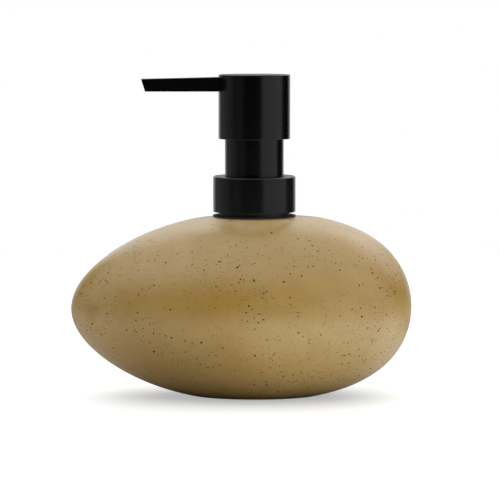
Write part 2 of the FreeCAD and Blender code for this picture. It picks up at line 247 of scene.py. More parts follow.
class Shading:
    """Node tree of one material or group, with short ways to add and join nodes."""

    def __init__(self, tree: bpy.types.NodeTree) -> None:
        """Keeps the tree that nodes are added to."""
        self.tree = tree

    def node(self, kind: str, **settings: object) -> bpy.types.Node:
        """Adds a node.

        Args:
            kind: the node's type.
            settings: properties to set on it.

        Returns:
            The new node.
        """
        made = self.tree.nodes.new(kind)
        for name, value in settings.items():
            setattr(made, name, value)
        return made

    def feed(self, socket: bpy.types.NodeSocket, value: object) -> None:
        """Fills an input.

        Args:
            socket: the input.
            value: a socket to link into it, or a constant to set it to.
        """
        if isinstance(value, bpy.types.NodeSocket):
            self.tree.links.new(value, socket)
        else:
            socket.default_value = value

    def feed_all(self, made: bpy.types.Node, **values: object) -> bpy.types.Node:
        """Fills inputs by name.

        Args:
            made: the node.
            values: sockets or constants by input name, with underscores for spaces.

        Returns:
            The same node.
        """
        for name, value in values.items():
            self.feed(made.inputs[name.replace("_", " ")], value)
        return made

    def math(self, operation: str, *values: object) -> bpy.types.NodeSocket:
        """Adds a Math node.

        Args:
            operation: what it computes.
            values: constants or sockets, in the order of its inputs.

        Returns:
            Socket of the result.
        """
        made = self.node("ShaderNodeMath", operation=operation)
        for socket, value in zip(made.inputs, values):
            self.feed(socket, value)
        return made.outputs[0]

    def vector(self, operation: str, first: object, second: object) -> bpy.types.NodeSocket:
        """Adds a Vector Math node of two inputs.

        Args:
            operation: what it computes.
            first: a vector, as a constant or a socket.
            second: another vector, or the factor of SCALE.

        Returns:
            Socket of a number for a distance or a dot product, and of a vector otherwise.
        """
        made = self.node("ShaderNodeVectorMath", operation=operation)
        self.feed(made.inputs[0], first)
        self.feed(made.inputs["Scale" if operation == "SCALE" else 1], second)
        return made.outputs["Value" if operation in ("DISTANCE", "DOT_PRODUCT") else "Vector"]

    def rise(self, vector: bpy.types.NodeSocket) -> bpy.types.NodeSocket:
        """Z part of a vector."""
        return self.feed_all(self.node("ShaderNodeSeparateXYZ"), Vector=vector).outputs["Z"]

    def place(self) -> bpy.types.NodeSocket:
        """Object coordinates."""
        return self.node("ShaderNodeTexCoord").outputs["Object"]

    def ramp(self, value: object, low: float, high: float, bottom: float = 0.0,
             top: float = 1.0) -> bpy.types.NodeSocket:
        """Adds a smooth step: bottom at low and before it, top at high and past it.

        Args:
            value: the number that runs through it.
            low: where the step starts.
            high: where it ends.
            bottom: the result at the start.
            top: the result at the end.

        Returns:
            Socket of the result.
        """
        made = self.node("ShaderNodeMapRange", interpolation_type="SMOOTHSTEP")
        self.feed_all(made, Value=value, From_Min=low, From_Max=high, To_Min=bottom, To_Max=top)
        return made.outputs["Result"]

    def blend(self, factor: object, first: object, second: object) -> bpy.types.NodeSocket:
        """Mixes two colours.

        Args:
            factor: 0 for the first colour, 1 for the second.
            first: a colour or a socket.
            second: a colour or a socket.

        Returns:
            Socket of the mixed colour.
        """
        made = self.node("ShaderNodeMix", data_type="RGBA")
        return self.feed_all(made, Factor=factor, A=first, B=second).outputs["Result"]

    def noise(self, scale: object, detail: float, roughness: float,
              distortion: float = 0.0) -> bpy.types.NodeSocket:
        """Adds noise over Object coordinates.

        Args:
            scale: waves per metre, as a number or a socket.
            detail: octaves added to the first.
            roughness: weight of each octave against the one before.
            distortion: how far the noise bends itself.

        Returns:
            Socket of a value from 0 to 1.
        """
        made = self.node("ShaderNodeTexNoise")
        self.feed_all(made, Vector=self.place(), Scale=scale, Detail=detail, Roughness=roughness,
                      Distortion=distortion)
        return made.outputs["Fac"]

    def mottle(self, pattern: Mottle, scale: object = None) -> bpy.types.NodeSocket:
        """Adds a mottle over Object coordinates.

        Args:
            pattern: its settings.
            scale: a socket used in place of the pattern's own scale.

        Returns:
            Socket of a value between the pattern's bottom and top.
        """
        value = self.noise(pattern.scale if scale is None else scale, pattern.detail, pattern.roughness,
                           pattern.distortion)
        return self.ramp(value, pattern.low, pattern.high, pattern.bottom, pattern.top)

    def bump(self, height: object, strength: float, depth: float) -> bpy.types.NodeSocket:
        """Turns a height into a bent normal.

        Args:
            height: socket of the height from 0 to 1.
            strength: how much of the bend is used.
            depth: metres that a height of 1 stands for.

        Returns:
            Socket of the normal.
        """
        made = self.feed_all(self.node("ShaderNodeBump"), Strength=strength, Distance=depth, Height=height)
        return made.outputs["Normal"]

    def group(self, group: bpy.types.NodeTree, **values: object) -> bpy.types.Node:
        """Places a shared group.

        Args:
            group: the group.
            values: its inputs by name, with underscores for spaces.

        Returns:
            The group's node.
        """
        made = self.node("ShaderNodeGroup")
        made.node_tree = group
        return self.feed_all(made, **values)

    def add_light(self, total: object, share: object, light: Light) -> bpy.types.NodeSocket:
        """Adds a share of a light's colour to a running sum of colours.

        Args:
            total: the sum so far, a colour or a socket.
            share: the light's brightness from 0 to 1, as a socket.
            light: the light's colour at full brightness.

        Returns:
            Socket of the new sum.
        """
        return self.vector("ADD", total, self.vector("SCALE", light, share))


def new_group(name: str, inputs: dict[str, float], outputs: Iterable[str]) -> tuple[
        bpy.types.NodeTree, Shading, dict[str, bpy.types.NodeSocket], bpy.types.Node]:
    """Starts a shader group whose sockets are all numbers.

    Args:
        name: the group's name.
        inputs: input names with their defaults.
        outputs: output names.

    Returns:
        The group, its shading tools, its input sockets by name, and its output node.
    """
    tree = bpy.data.node_groups.new(name, "ShaderNodeTree")
    for label, value in inputs.items():
        socket = tree.interface.new_socket(label, in_out="INPUT", socket_type="NodeSocketFloat")
        socket.default_value = value
    for label in outputs:
        tree.interface.new_socket(label, in_out="OUTPUT", socket_type="NodeSocketFloat")
    shading = Shading(tree)
    entry = shading.node("NodeGroupInput")
    leave = shading.node("NodeGroupOutput")
    return tree, shading, {label: entry.outputs[label] for label in inputs}, leave


def speckle_group() -> bpy.types.NodeTree:
    """Iron specks: one round spot in a share of the cells of a Voronoi pattern.

    The cells are bent by a finer noise. A cell has a spot if its random number is under the local share,
    which a broad noise makes denser in some places. The spot's radius is a random part of the largest
    one, and its edge is soft.

    Returns:
        The group.
    """
    wobble_waves, wobble_cells = 2.2, 0.22  # waves in a cell, and how far they shift it
    crowding = Mottle(30.0, 2.0, 0.6, 0.38, 0.66, bottom=0.25, top=1.9)
    least_size, edge_start, edge_end = 0.35, 0.72, 1.15
    tree, nodes, given, leave = new_group("iron_specks", {
        "Scale": 300.0, "Radius": 0.12, "Share": 0.2, "Cluster Scale": crowding.scale}, ["Mask"])
    place = nodes.place()
    wobble = nodes.node("ShaderNodeTexNoise")
    nodes.feed_all(wobble, Vector=place, Scale=nodes.math("MULTIPLY", given["Scale"], wobble_waves))
    shift = nodes.math("DIVIDE", wobble_cells, given["Scale"])
    moved = nodes.vector("ADD", place, nodes.vector("SCALE", wobble.outputs["Color"], shift))
    cells = nodes.node("ShaderNodeTexVoronoi", feature="F1")
    nodes.feed_all(cells, Vector=moved, Scale=given["Scale"])
    chance = nodes.feed_all(nodes.node("ShaderNodeSeparateColor"), Color=cells.outputs["Color"])
    share = nodes.math("MULTIPLY", given["Share"], nodes.mottle(crowding, given["Cluster Scale"]))
    chosen = nodes.math("LESS_THAN", chance.outputs[0], share)
    size = nodes.math("MULTIPLY", given["Radius"], nodes.ramp(chance.outputs[1], 0.0, 1.0, least_size))
    edge = nodes.math("DIVIDE", cells.outputs["Distance"], size)
    spot = nodes.ramp(edge, edge_start, edge_end, 1.0, 0.0)
    nodes.feed(leave.inputs["Mask"], nodes.math("MULTIPLY", spot, chosen))
    return tree


def grain_group() -> bpy.types.NodeTree:
    """Fine surface grain: two octaves of noise for height, and a broad smudge for roughness.

    Returns:
        The group.
    """
    finer, fine_share = 3.1, 0.4
    tree, nodes, given, leave = new_group(
        "surface_grain", {"Grain Scale": 4000.0, "Smudge Scale": 60.0, "Roughness": 0.4, "Smudge": 0.06},
        ["Height", "Roughness"])
    coarse = nodes.noise(given["Grain Scale"], detail=2.0, roughness=0.6)
    fine = nodes.noise(nodes.math("MULTIPLY", given["Grain Scale"], finer), detail=1.0, roughness=0.5)
    nodes.feed(leave.inputs["Height"], nodes.math("MULTIPLY_ADD", fine, fine_share, coarse))
    smears = nodes.noise(given["Smudge Scale"], detail=4.0, roughness=0.6)
    uneven = nodes.math("SUBTRACT", smears, 0.5)
    smudge = nodes.math("MULTIPLY", nodes.math("MULTIPLY", uneven, 2.0), given["Smudge"])
    nodes.feed(leave.inputs["Roughness"], nodes.math("ADD", given["Roughness"], smudge))
    return tree


def dust_group() -> bpy.types.NodeTree:
    """Thin dust that settles on faces that look up, broken by noise; one mask.

    Returns:
        The group.
    """
    patches = Mottle(300.0, 5.0, 0.7, 0.35, 0.75)
    level_start, level_end = 0.6, 1.0  # Z part of the normal
    tree, nodes, given, leave = new_group("settled_dust", {"Amount": 0.1, "Scale": patches.scale}, ["Mask"])
    facing = nodes.rise(nodes.node("ShaderNodeNewGeometry").outputs["Normal"])
    level = nodes.ramp(facing, level_start, level_end)
    patchy = nodes.math("MULTIPLY", level, nodes.mottle(patches, given["Scale"]))
    nodes.feed(leave.inputs["Mask"], nodes.math("MULTIPLY", patchy, given["Amount"]))
    return tree


@dataclass(frozen=True)
class Groups:
    """Shared effects, built once."""

    speckle: bpy.types.NodeTree
    grain: bpy.types.NodeTree
    dust: bpy.types.NodeTree


def new_material(name: str) -> tuple[bpy.types.Material, Shading, bpy.types.Node]:
    """Starts a material with only a Principled shader and its output.

    Args:
        name: the material's name.

    Returns:
        The material, its shading tools and the shader.
    """
    material = bpy.data.materials.new(name)
    material.use_nodes = True
    material.node_tree.nodes.clear()
    shading = Shading(material.node_tree)
    shader = shading.node("ShaderNodeBsdfPrincipled")
    shading.feed_all(shading.node("ShaderNodeOutputMaterial"), Surface=shader.outputs["BSDF"])
    return material, shading, shader


@dataclass(frozen=True)
class Specks:
    """One size of speck: cells per metre, spot radius and share of cells with one, cover and colour."""

    scale: float
    radius: float
    share: float
    cover: float
    colour: Colour


@dataclass(frozen=True)
class Stoneware:
    """Satin ochre glaze over stoneware: mottled, specked with iron, bare clay on the ground foot."""

    ochre: Colour = (0.335, 0.197, 0.040, 1.0)
    tan: Colour = (0.370, 0.240, 0.070, 1.0)
    umber: Colour = (0.200, 0.110, 0.024, 1.0)
    clay: Colour = (0.520, 0.420, 0.300, 1.0)
    broad: Mottle = Mottle(26.0, 3.0, 0.55, 0.34, 0.66, distortion=0.3)
    thin_glaze: Mottle = Mottle(110.0, 5.0, 0.65, 0.42, 0.80, top=0.30)
    flecks: Mottle = Mottle(1500.0, 3.0, 0.7, 0.60, 0.78, top=0.22)
    specks: tuple[Specks, ...] = (
        Specks(420.0, 0.20, 0.20, 0.97, (0.028, 0.013, 0.003, 1.0)),
        Specks(640.0, 0.24, 0.36, 0.92, (0.028, 0.013, 0.003, 1.0)),
        Specks(1050.0, 0.30, 0.50, 0.70, (0.075, 0.036, 0.008, 1.0)),
    )
    cluster_scale: float = 34.0
    # Painted shade round the narrow tip: umber at the given depth within the core radius, fading out by the
    # reach, its edge made ragged by noise.
    tip_shade_centre: Point = (-0.0655, -0.016, 0.0375)
    tip_shade_core: float = 0.003
    tip_shade_reach: float = 0.011
    tip_shade_depth: float = 0.55
    tip_shade_wobble: float = 0.008
    tip_shade_scale: float = 160.0
    foot_height: tuple[float, float] = (0.0006, 0.0002)
    foot_facing: tuple[float, float] = (-0.90, -0.98)
    roughness: float = 0.34
    pit_roughness: float = 0.15
    clay_roughness: float = 0.4
    grain_scale: float = 900.0
    smudge_scale: float = 45.0
    smudge: float = 0.05
    grain_height: float = 0.25
    bump_strength: float = 0.35
    bump_depth: float = 0.00003
    gloss: float = 0.8
    iron_metal: float = 0.75

    def build(self, groups: Groups) -> bpy.types.Material:
        """Makes the material.

        Broad noise moves the colour between ochre and tan, a finer cloud and flecks add umber where the
        glaze is thin, painted shade near the narrow tip adds more umber, and three sizes of speck darken it.
        The two larger sizes are partly metal, which takes the glaze's shine off them. The foot shows bare
        clay where the surface is level and on the ground.

        Args:
            groups: the shared effects.

        Returns:
            The finished material.
        """
        material, nodes, shader = new_material("stoneware_glaze")
        place = nodes.place()
        colour = nodes.blend(nodes.mottle(self.broad), self.ochre, self.tan)
        for pattern in (self.thin_glaze, self.flecks):
            colour = nodes.blend(nodes.mottle(pattern), colour, self.umber)
        # Painted shade: umber darkens a ragged patch round the narrow tip.
        apart = nodes.vector("DISTANCE", place, self.tip_shade_centre)
        ragged = nodes.noise(self.tip_shade_scale, detail=3.0, roughness=0.6)
        uneven = nodes.math("MULTIPLY_ADD", ragged, self.tip_shade_wobble, apart)
        tip_shade = nodes.ramp(uneven, self.tip_shade_core, self.tip_shade_reach, self.tip_shade_depth, 0.0)
        colour = nodes.blend(tip_shade, colour, self.umber)
        masks = []
        for size in self.specks:
            spots = nodes.group(groups.speckle, Scale=size.scale, Radius=size.radius, Share=size.share,
                                Cluster_Scale=self.cluster_scale)
            masks.append(spots.outputs["Mask"])
            colour = nodes.blend(nodes.math("MULTIPLY", masks[-1], size.cover), colour, size.colour)
        normal = nodes.node("ShaderNodeNewGeometry").outputs["Normal"]
        bare = nodes.math("MULTIPLY", nodes.ramp(nodes.rise(place), *self.foot_height),
                          nodes.ramp(nodes.rise(normal), *self.foot_facing))
        grain = nodes.group(groups.grain, Grain_Scale=self.grain_scale, Smudge_Scale=self.smudge_scale,
                            Roughness=self.roughness, Smudge=self.smudge)
        rough = nodes.math("MULTIPLY_ADD", masks[0], self.pit_roughness, grain.outputs["Roughness"])
        height = nodes.math("MULTIPLY_ADD", grain.outputs["Height"], self.grain_height,
                            nodes.math("MULTIPLY", masks[0], -1.0))
        iron = nodes.math("MAXIMUM", masks[0], masks[1])
        nodes.feed_all(shader, Base_Color=nodes.blend(bare, colour, self.clay),
                       Roughness=nodes.math("MULTIPLY_ADD", bare, self.clay_roughness, rough),
                       Metallic=nodes.math("MULTIPLY", iron, self.iron_metal),
                       Normal=nodes.bump(height, self.bump_strength, self.bump_depth),
                       Specular_IOR_Level=self.gloss)
        return material


@dataclass(frozen=True)
class Coating:
    """Painted, moulded or rubbery finish with fine grain, handling smudges and settled dust."""

    name: str
    colour: Colour
    shade: Colour
    roughness: float
    grain_scale: float
    grain_depth: float
    dust: float = 0.0
    metallic: float = 0.0
    subsurface: float = 0.0
    gloss: float = 0.5
    cloud: Mottle = Mottle(90.0, 4.0, 0.6, 0.3, 0.7)
    smudge: float = 0.05
    smudge_scale: float = 70.0
    dust_scale: float = 420.0
    dust_colour: Colour = (0.35, 0.34, 0.32, 1.0)
    bump_strength: float = 0.5
    scatter_depth: float = 0.001

    def build(self, groups: Groups) -> bpy.types.Material:
        """Makes the material: two close colours in clouds, dust where there is any, grain and smudges.

        Args:
            groups: the shared effects.

        Returns:
            The finished material.
        """
        material, nodes, shader = new_material(self.name)
        colour = nodes.blend(nodes.mottle(self.cloud), self.colour, self.shade)
        if self.dust:
            dust = nodes.group(groups.dust, Amount=self.dust, Scale=self.dust_scale)
            colour = nodes.blend(dust.outputs["Mask"], colour, self.dust_colour)
        grain = nodes.group(groups.grain, Grain_Scale=self.grain_scale, Smudge_Scale=self.smudge_scale,
                            Roughness=self.roughness, Smudge=self.smudge)
        nodes.feed_all(shader, Base_Color=colour, Roughness=grain.outputs["Roughness"],
                       Normal=nodes.bump(grain.outputs["Height"], self.bump_strength, self.grain_depth),
                       Metallic=self.metallic, Subsurface_Weight=self.subsurface,
                       Subsurface_Scale=self.scatter_depth, Specular_IOR_Level=self.gloss)
        return material


def grey(level: float) -> Colour:
    """Neutral colour of one brightness."""
    return level, level, level, 1.0


def make_finishes() -> dict[Slot, bpy.types.Material]:
    """Builds the shared groups and every finish once.

    Returns:
        The materials by the record's slot.
    """
    groups = Groups(speckle_group(), grain_group(), dust_group())
    coatings = {
        Slot.COATED_METAL: Coating("black_powder_coat", grey(0.0004), grey(0.0007), 0.24, 5200.0, 0.000008,
                                   dust=0.0004, gloss=0.29),
        Slot.BLACK_PLASTIC: Coating("black_moulding", grey(0.003), grey(0.005), 0.50, 3600.0, 0.00002),
        Slot.NATURAL_PLASTIC: Coating("natural_polypropylene", (0.70, 0.71, 0.69, 1), (0.62, 0.64, 0.63, 1),
                                      0.38, 1500.0, 0.00001, subsurface=0.25),
        Slot.PISTON_PLASTIC: Coating("piston_polyethylene", (0.78, 0.77, 0.72, 1), (0.70, 0.69, 0.64, 1),
                                     0.45, 1800.0, 0.00001, subsurface=0.3),
        Slot.SILICONE: Coating("seal_rubber", grey(0.0015), grey(0.0025), 0.62, 2600.0, 0.00002),
        Slot.STEEL: Coating("drawn_steel", (0.56, 0.56, 0.55, 1), grey(0.46), 0.24, 6000.0, 0.000006,
                            metallic=1.0),
    }
    finishes = {slot: coating.build(groups) for slot, coating in coatings.items()}
    finishes[Slot.STONEWARE] = Stoneware().build(groups)
    return finishes


def dress(piece: bpy.types.Object, material: bpy.types.Material) -> None:
    """Gives a piece one material in its only slot."""
    piece.data.materials.clear()
    piece.data.materials.append(material)


def millimetres(node: str) -> tuple[Vector, Vector]:
    """Lowest and highest corner of a CAD node in millimetres."""
    low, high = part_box(node)
    return low / MM, high / MM


@dataclass
class SubAssembly:
    """What every sub-assembly shares: its finishes, its body, and how a piece is handed over."""

    finishes: dict[Slot, bpy.types.Material]
    body: ClassVar[Body]

    def hand_over(self, piece: bpy.types.Object, slot: Slot, node: str) -> bpy.types.Object:
        """Dresses a new piece, puts it on its body in place of a CAD node, and reports it.

        Args:
            piece: the new piece.
            slot: its finish.
            node: the CAD node that it stands for.

        Returns:
            The same piece.
        """
        dress(piece, self.finishes[slot])
        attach(piece, self.body.value)
        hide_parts(node)
        log.info("%s: %d faces, rides on %s", piece.name, len(piece.data.polygons), self.body.value)
        return piece


@dataclass
class Bottle(SubAssembly):
    """Hollow stoneware egg with a ground foot, a ground landing and a neck hole; lengths in millimetres."""

    body: ClassVar[Body] = Body.BOTTLE
    outline_terms: tuple[float, float, float, float] = (39.156, 3.256, 1.674, 4.387)
    tilt: float = math.radians(0.6)
    axis_height: float = 37.25
    wall: float = 4.5
    hole_radius: float = 13.05
    hole_rounding: float = 0.3
    rim_depth: float = 0.5
    neck_wall: float = 4.0
    neck_depth: float = 7.0
    landing_radius: float = 17.45
    landing_flare: float = 2.2 / 3.0
    skirt_limit: float = 3.0
    skirt_steepness: float = 0.5
    edge_blend: float = 1.3
    foot_blend: float = 0.8
    unevenness: float = 0.05
    wave_lengths: tuple[float, float, float] = (3.1, 4.3, 3.7)
    wave_starts: tuple[float, float, float] = (1.0, 2.0, 0.0)
    crease: float = 40.0
    around: int = 288
    outer_rings: int = 170
    inner_rings: int = 60

    def __post_init__(self) -> None:
        """Reads the egg's length and the landing's height from the frame."""
        low, high = millimetres("ceramic_bottle")
        self.centre_x = (low.x + high.x) / 2
        self.half_length = (high.x - low.x) / 2
        self.landing = high.z

    def outline(self, station: np.ndarray, inset: float) -> np.ndarray:
        """Egg radius at a station along its axis.

        The radius is sqrt(1 - t^2) times a cubic in t, where t runs from -1 at the narrow tip to 1 at
        the blunt tip; inset shortens the egg and takes the same off its girth.

        Args:
            station: distances along the axis.
            inset: distance inside the skin.

        Returns:
            The radii, shaped as the stations.
        """
        t = np.clip((station - self.centre_x) / (self.half_length - inset), -1.0, 1.0)
        return np.sqrt(1 - t * t) * (np.polynomial.polynomial.polyval(t, self.outline_terms) - inset)

    def reach(self, direction: np.ndarray, inset: float) -> np.ndarray:
        """Distance from the egg's heart to its skin, by bisection on whole arrays.

        Args:
            direction: unit vectors, shaped (..., 3).
            inset: distance inside the skin.

        Returns:
            The distances, shaped (...).
        """
        low, high = np.zeros(direction.shape[:-1]), np.full(direction.shape[:-1], 3 * self.half_length)
        cosine, sine = math.cos(self.tilt), math.sin(self.tilt)
        for _ in range(BISECTIONS):
            middle = (low + high) / 2
            x, y, z = np.moveaxis(direction * middle[..., None], -1, 0)
            along, rise = cosine * x + sine * z, cosine * z - sine * x
            outside = np.hypot(y, rise) > self.outline(along, inset)
            high = np.where(outside, middle, high)
            low = np.where(outside, low, middle)
        return (low + high) / 2

    def directions(self, first_angle: float, last_angle: float, rings: int) -> np.ndarray:
        """Unit directions on rings of equal polar angle: (sin p cos a, sin p sin a, cos p).

        Args:
            first_angle: polar angle of the first ring, from straight up.
            last_angle: polar angle of the last ring.
            rings: how many rings.

        Returns:
            Vectors shaped (rings, points round a ring, 3).
        """
        polar = np.linspace(first_angle, last_angle, rings)[:, None]
        turn = np.linspace(0.0, 2 * math.pi, self.around, endpoint=False)[None, :]
        return np.stack([np.sin(polar) * np.cos(turn), np.sin(polar) * np.sin(turn),
                         np.cos(polar) + 0 * turn], axis=-1)

    def outer_rows(self) -> np.ndarray:
        """Outer skin from the neck hole's rim to the middle of the foot.

        Along each direction the skin is the smaller of the egg's distance and that of the two ground
        planes; the landing's conical skirt is joined on by the larger. Both joins are rounded, and a
        product of three long waves leaves the faint unevenness of a cast pot.

        Returns:
            Rings of points.
        """
        rise = self.landing - self.axis_height
        way = self.directions(math.atan2(self.hole_radius, rise), math.pi, self.outer_rings)
        egg = self.reach(way, 0.0)
        up = way[..., 2]
        side = np.hypot(way[..., 0], way[..., 1])
        plane = rise / np.maximum(up, TINY)
        cone = (self.landing_radius + self.landing_flare * rise) / (side + self.landing_flare * up + TINY)
        cone = np.where(up > self.skirt_steepness, cone, 0.0)
        foot = self.axis_height / np.maximum(-up, TINY)
        wave = np.prod(np.sin(np.array(self.wave_lengths) * way + self.wave_starts), axis=-1)
        skirt = np.minimum(cone, egg + self.skirt_limit)
        skin = smooth_most(egg + self.unevenness * wave, skirt, self.edge_blend)
        skin = smooth_least(skin, plane, self.edge_blend)
        skin = smooth_least(skin, foot, self.foot_blend)
        rows = way * skin[..., None] + np.array([0.0, 0.0, self.axis_height])
        rows[0, :, 2] = self.landing
        rows[..., 2] = np.maximum(rows[..., 2], 0.0)
        rows[-1] = rows[-1].mean(axis=0)
        return rows

    def inner_rows(self) -> np.ndarray:
        """Inner wall from the middle of the floor to the clay round the neck hole, then the hole.

        The wall is the egg at an inset of one wall's thickness, cut by a level floor.

        Returns:
            Rings of points.
        """
        neck_floor = self.landing - self.neck_depth
        ring_radius = self.hole_radius + self.neck_wall
        first = math.atan2(ring_radius, neck_floor - self.axis_height)
        way = self.directions(math.pi, first, self.inner_rings)
        floor = (self.axis_height - self.wall) / np.maximum(-way[..., 2], TINY)
        rows = way * np.minimum(self.reach(way, self.wall), floor)[..., None]
        rows += np.array([0.0, 0.0, self.axis_height])
        rows[0] = rows[0].mean(axis=0)
        turn = np.linspace(0.0, 2 * math.pi, self.around, endpoint=False)
        circle = np.stack([np.cos(turn), np.sin(turn)], axis=-1)
        rings = ((ring_radius, neck_floor), (self.hole_radius + self.hole_rounding, neck_floor),
                 (self.hole_radius, neck_floor + self.hole_rounding),
                 (self.hole_radius, self.landing - self.rim_depth))
        hole = [np.concatenate([circle * radius, np.full((self.around, 1), height)], axis=1)
                for radius, height in rings]
        return np.concatenate([rows, np.array(hole)])

    def build(self) -> bpy.types.Object:
        """Makes the closed shell: outer skin, then inner wall, then back to the rim.

        Returns:
            The piece.
        """
        rows = np.concatenate([self.outer_rows(), self.inner_rows()])[::-1]
        piece = grid_object("stoneware_egg", rows, loop=True, crease=self.crease)
        return self.hand_over(piece, Slot.STONEWARE, "ceramic_bottle")


@dataclass
class Collar(SubAssembly):
    """Turned metal cup over the screw cap; lengths in millimetres."""

    body: ClassVar[Body] = Body.COLLAR
    wall: float = 0.8
    chamfer: float = 0.35
    edge: float = 0.10
    hole_gap: float = 0.3

    def build(self) -> bpy.types.Object:
        """Makes the cup with a chamfered upper rim and a rounded lower one.

        Returns:
            The piece.
        """
        low, high = millimetres("collar_shell")
        radius = high.x
        hole = millimetres("tower_sleeve")[1].x + self.hole_gap
        inner, ceiling = radius - self.wall, high.z - self.wall
        corners = [
            (inner, low.z, 0.15), (radius, low.z, 0.25), (radius, high.z - self.chamfer, self.edge),
            (radius - self.chamfer, high.z, self.edge), (hole, high.z, 0.12), (hole, ceiling, 0.1),
            (inner, ceiling, 0.1),
        ]
        return self.hand_over(turned("collar_cup", corners), Slot.COATED_METAL, "collar_shell")


@dataclass
class Barrel(SubAssembly):
    """Fixed sleeve over the guide bush, and the return spring inside it; lengths in millimetres."""

    body: ClassVar[Body] = Body.BARREL
    sleeve_wall: float = 0.8
    lip_thickness: float = 1.2
    lip_radius: float = 6.6
    wire_radius: float = 0.45
    spring_radius: float = 3.95
    active_turns: float = 6.0
    closed_turns: float = 1.0
    closed_pitch: float = 2.05 * wire_radius
    ease_turns: float = 0.5
    wire_sides: int = 14
    steps_per_turn: int = 40
    head_travel: float = 14.0

    def build_sleeve(self) -> bpy.types.Object:
        """Makes the sleeve with its inward lip at the top.

        Returns:
            The piece.
        """
        low, high = millimetres("tower_sleeve")
        radius, under = high.x, high.z - self.lip_thickness
        inner = radius - self.sleeve_wall
        corners = [
            (inner, low.z, 0.1), (radius, low.z, 0.2), (radius, high.z, 0.4),
            (self.lip_radius, high.z, 0.3), (self.lip_radius, under, 0.2), (inner, under, 0.3),
        ]
        return self.hand_over(turned("sliding_sleeve", corners), Slot.COATED_METAL, "tower_sleeve")

    def build_spring(self) -> bpy.types.Object:
        """Makes the coil: a circle carried along a helix whose pitch is about one wire at both ends.

        The height is the running sum of the pitch, which goes evenly from closed to active and back
        within ease_turns. The circle lies across the path's tangent.

        Returns:
            The piece.
        """
        low, high = millimetres("return_spring")
        base, top = low.z + self.wire_radius, high.z - self.wire_radius
        turns = self.active_turns + 2 * self.closed_turns
        lap = np.linspace(0.0, 1.0, int(turns * self.steps_per_turn) + 1) * turns
        active_pitch = (top - base - 2 * self.closed_pitch * self.closed_turns) / self.active_turns
        from_end = np.minimum(lap, turns - lap) - self.closed_turns
        ease = np.clip(from_end / self.ease_turns + 0.5, 0.0, 1.0)
        pitch = self.closed_pitch + (active_pitch - self.closed_pitch) * ease
        rise = np.concatenate([[0.0], np.cumsum((pitch[1:] + pitch[:-1]) / 2 * np.diff(lap))])
        height = base + rise * (top - base) / rise[-1]
        angle = 2 * math.pi * lap
        outward = np.stack([np.cos(angle), np.sin(angle), 0 * angle], axis=-1)
        centre = self.spring_radius * outward + height[:, None] * np.array([0.0, 0.0, 1.0])
        tangent = np.gradient(centre, axis=0)
        tangent /= np.linalg.norm(tangent, axis=1)[:, None]
        across = np.cross(tangent, outward)
        around = np.linspace(0, 2 * math.pi, self.wire_sides, endpoint=False)[None, :, None]
        rows = centre[:, None] + self.wire_radius * (
            np.cos(around) * outward[:, None] - np.sin(around) * across[:, None])
        first, last = (end[:, None].repeat(self.wire_sides, 1) for end in (centre[:1], centre[-1:]))
        piece = grid_object("return_coil", np.concatenate([first, rows, last])[::-1])
        self.hand_over(piece, Slot.STEEL, "return_spring")
        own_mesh(piece)
        return piece


